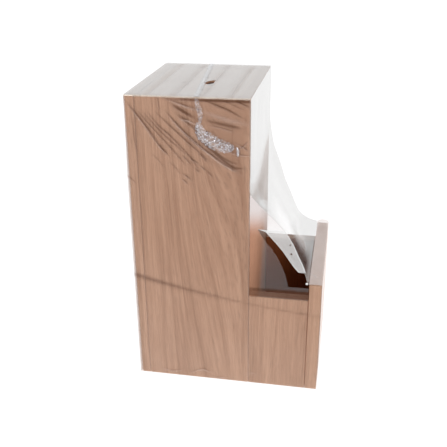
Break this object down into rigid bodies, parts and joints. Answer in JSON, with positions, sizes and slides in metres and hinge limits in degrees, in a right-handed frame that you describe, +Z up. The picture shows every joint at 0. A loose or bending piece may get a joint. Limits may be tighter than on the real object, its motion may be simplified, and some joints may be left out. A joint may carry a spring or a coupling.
{
  "type": "top bar hive",
  "caption": "Upright wooden top bar nucleus hive: tall box closed by lift-out bars with comb guides, and an open-topped porch with a higher front board over a turning entrance disc.",
  "frame": {"origin": "on the ground, under the centre of the bounding box", "axes": "+Z up; +X from the back board towards the porch; +Y towards the left-hand side panel"},
  "size_m": [0.2784, 0.228, 0.452],
  "materials": {
    "carcass_timber": "sanded, unfinished pinkish-brown hardwood boards",
    "bar_timber": "planed, unfinished hardwood",
    "dowel_beech": "plain beech dowel",
    "zinc_steel": "zinc-plated sheet steel",
    "clear_film": "clear heat-shrunk packing film"
  },
  "bodies": {
    "box": {"back_board": "carcass_timber", "right_side_panel": "carcass_timber", "left_side_panel": "carcass_timber", "tower_front_wall": "carcass_timber", "hive_floor": "carcass_timber", "right_porch_side": "carcass_timber", "left_porch_side": "carcass_timber", "porch_front_board": "carcass_timber", "porch_floor": "carcass_timber", "right_bar_rest": "bar_timber", "left_bar_rest": "bar_timber", "rear_end_rail": "bar_timber", "front_end_rail": "bar_timber", "vent_mesh": "zinc_steel", "disc_screw": "zinc_steel", "dowel_back_right_1": "dowel_beech", "dowel_back_right_2": "dowel_beech", "dowel_back_right_3": "dowel_beech", "dowel_back_left_1": "dowel_beech", "dowel_back_left_2": "dowel_beech", "dowel_back_left_3": "dowel_beech", "dowel_wall_right_1": "dowel_beech", "dowel_wall_right_2": "dowel_beech", "dowel_wall_right_3": "dowel_beech", "dowel_wall_left_1": "dowel_beech", "dowel_wall_left_2": "dowel_beech", "dowel_wall_left_3": "dowel_beech", "dowel_porch_right_1": "dowel_beech", "dowel_porch_right_2": "dowel_beech", "dowel_porch_left_1": "dowel_beech", "dowel_porch_left_2": "dowel_beech", "dowel_front_right_1": "dowel_beech", "dowel_front_right_2": "dowel_beech", "dowel_front_left_1": "dowel_beech", "dowel_front_left_2": "dowel_beech"},
    "bar_1": {"top_bar_1": "bar_timber", "comb_guide_1": "bar_timber"},
    "bar_2": {"top_bar_2": "bar_timber", "comb_guide_2": "bar_timber"},
    "bar_3": {"top_bar_3": "bar_timber", "comb_guide_3": "bar_timber"},
    "disc": {"entrance_disc": "zinc_steel"}
  },
  "joints": [
    {"name": "bar_1_lift", "type": "slide", "parent": "box", "child": "bar_1", "axis": [0, 0, 1], "range_m": [0, 0.06]},
    {"name": "bar_2_lift", "type": "slide", "parent": "box", "child": "bar_2", "axis": [0, 0, 1], "range_m": [0, 0.06]},
    {"name": "bar_3_lift", "type": "slide", "parent": "box", "child": "bar_3", "axis": [0, 0, 1], "range_m": [0, 0.06]},
    {"name": "disc_turn", "type": "hinge", "parent": "box", "child": "disc", "pos_m": [0.0338, 0, 0.062], "axis": [1, 0, 0], "continuous": true}
  ]
}
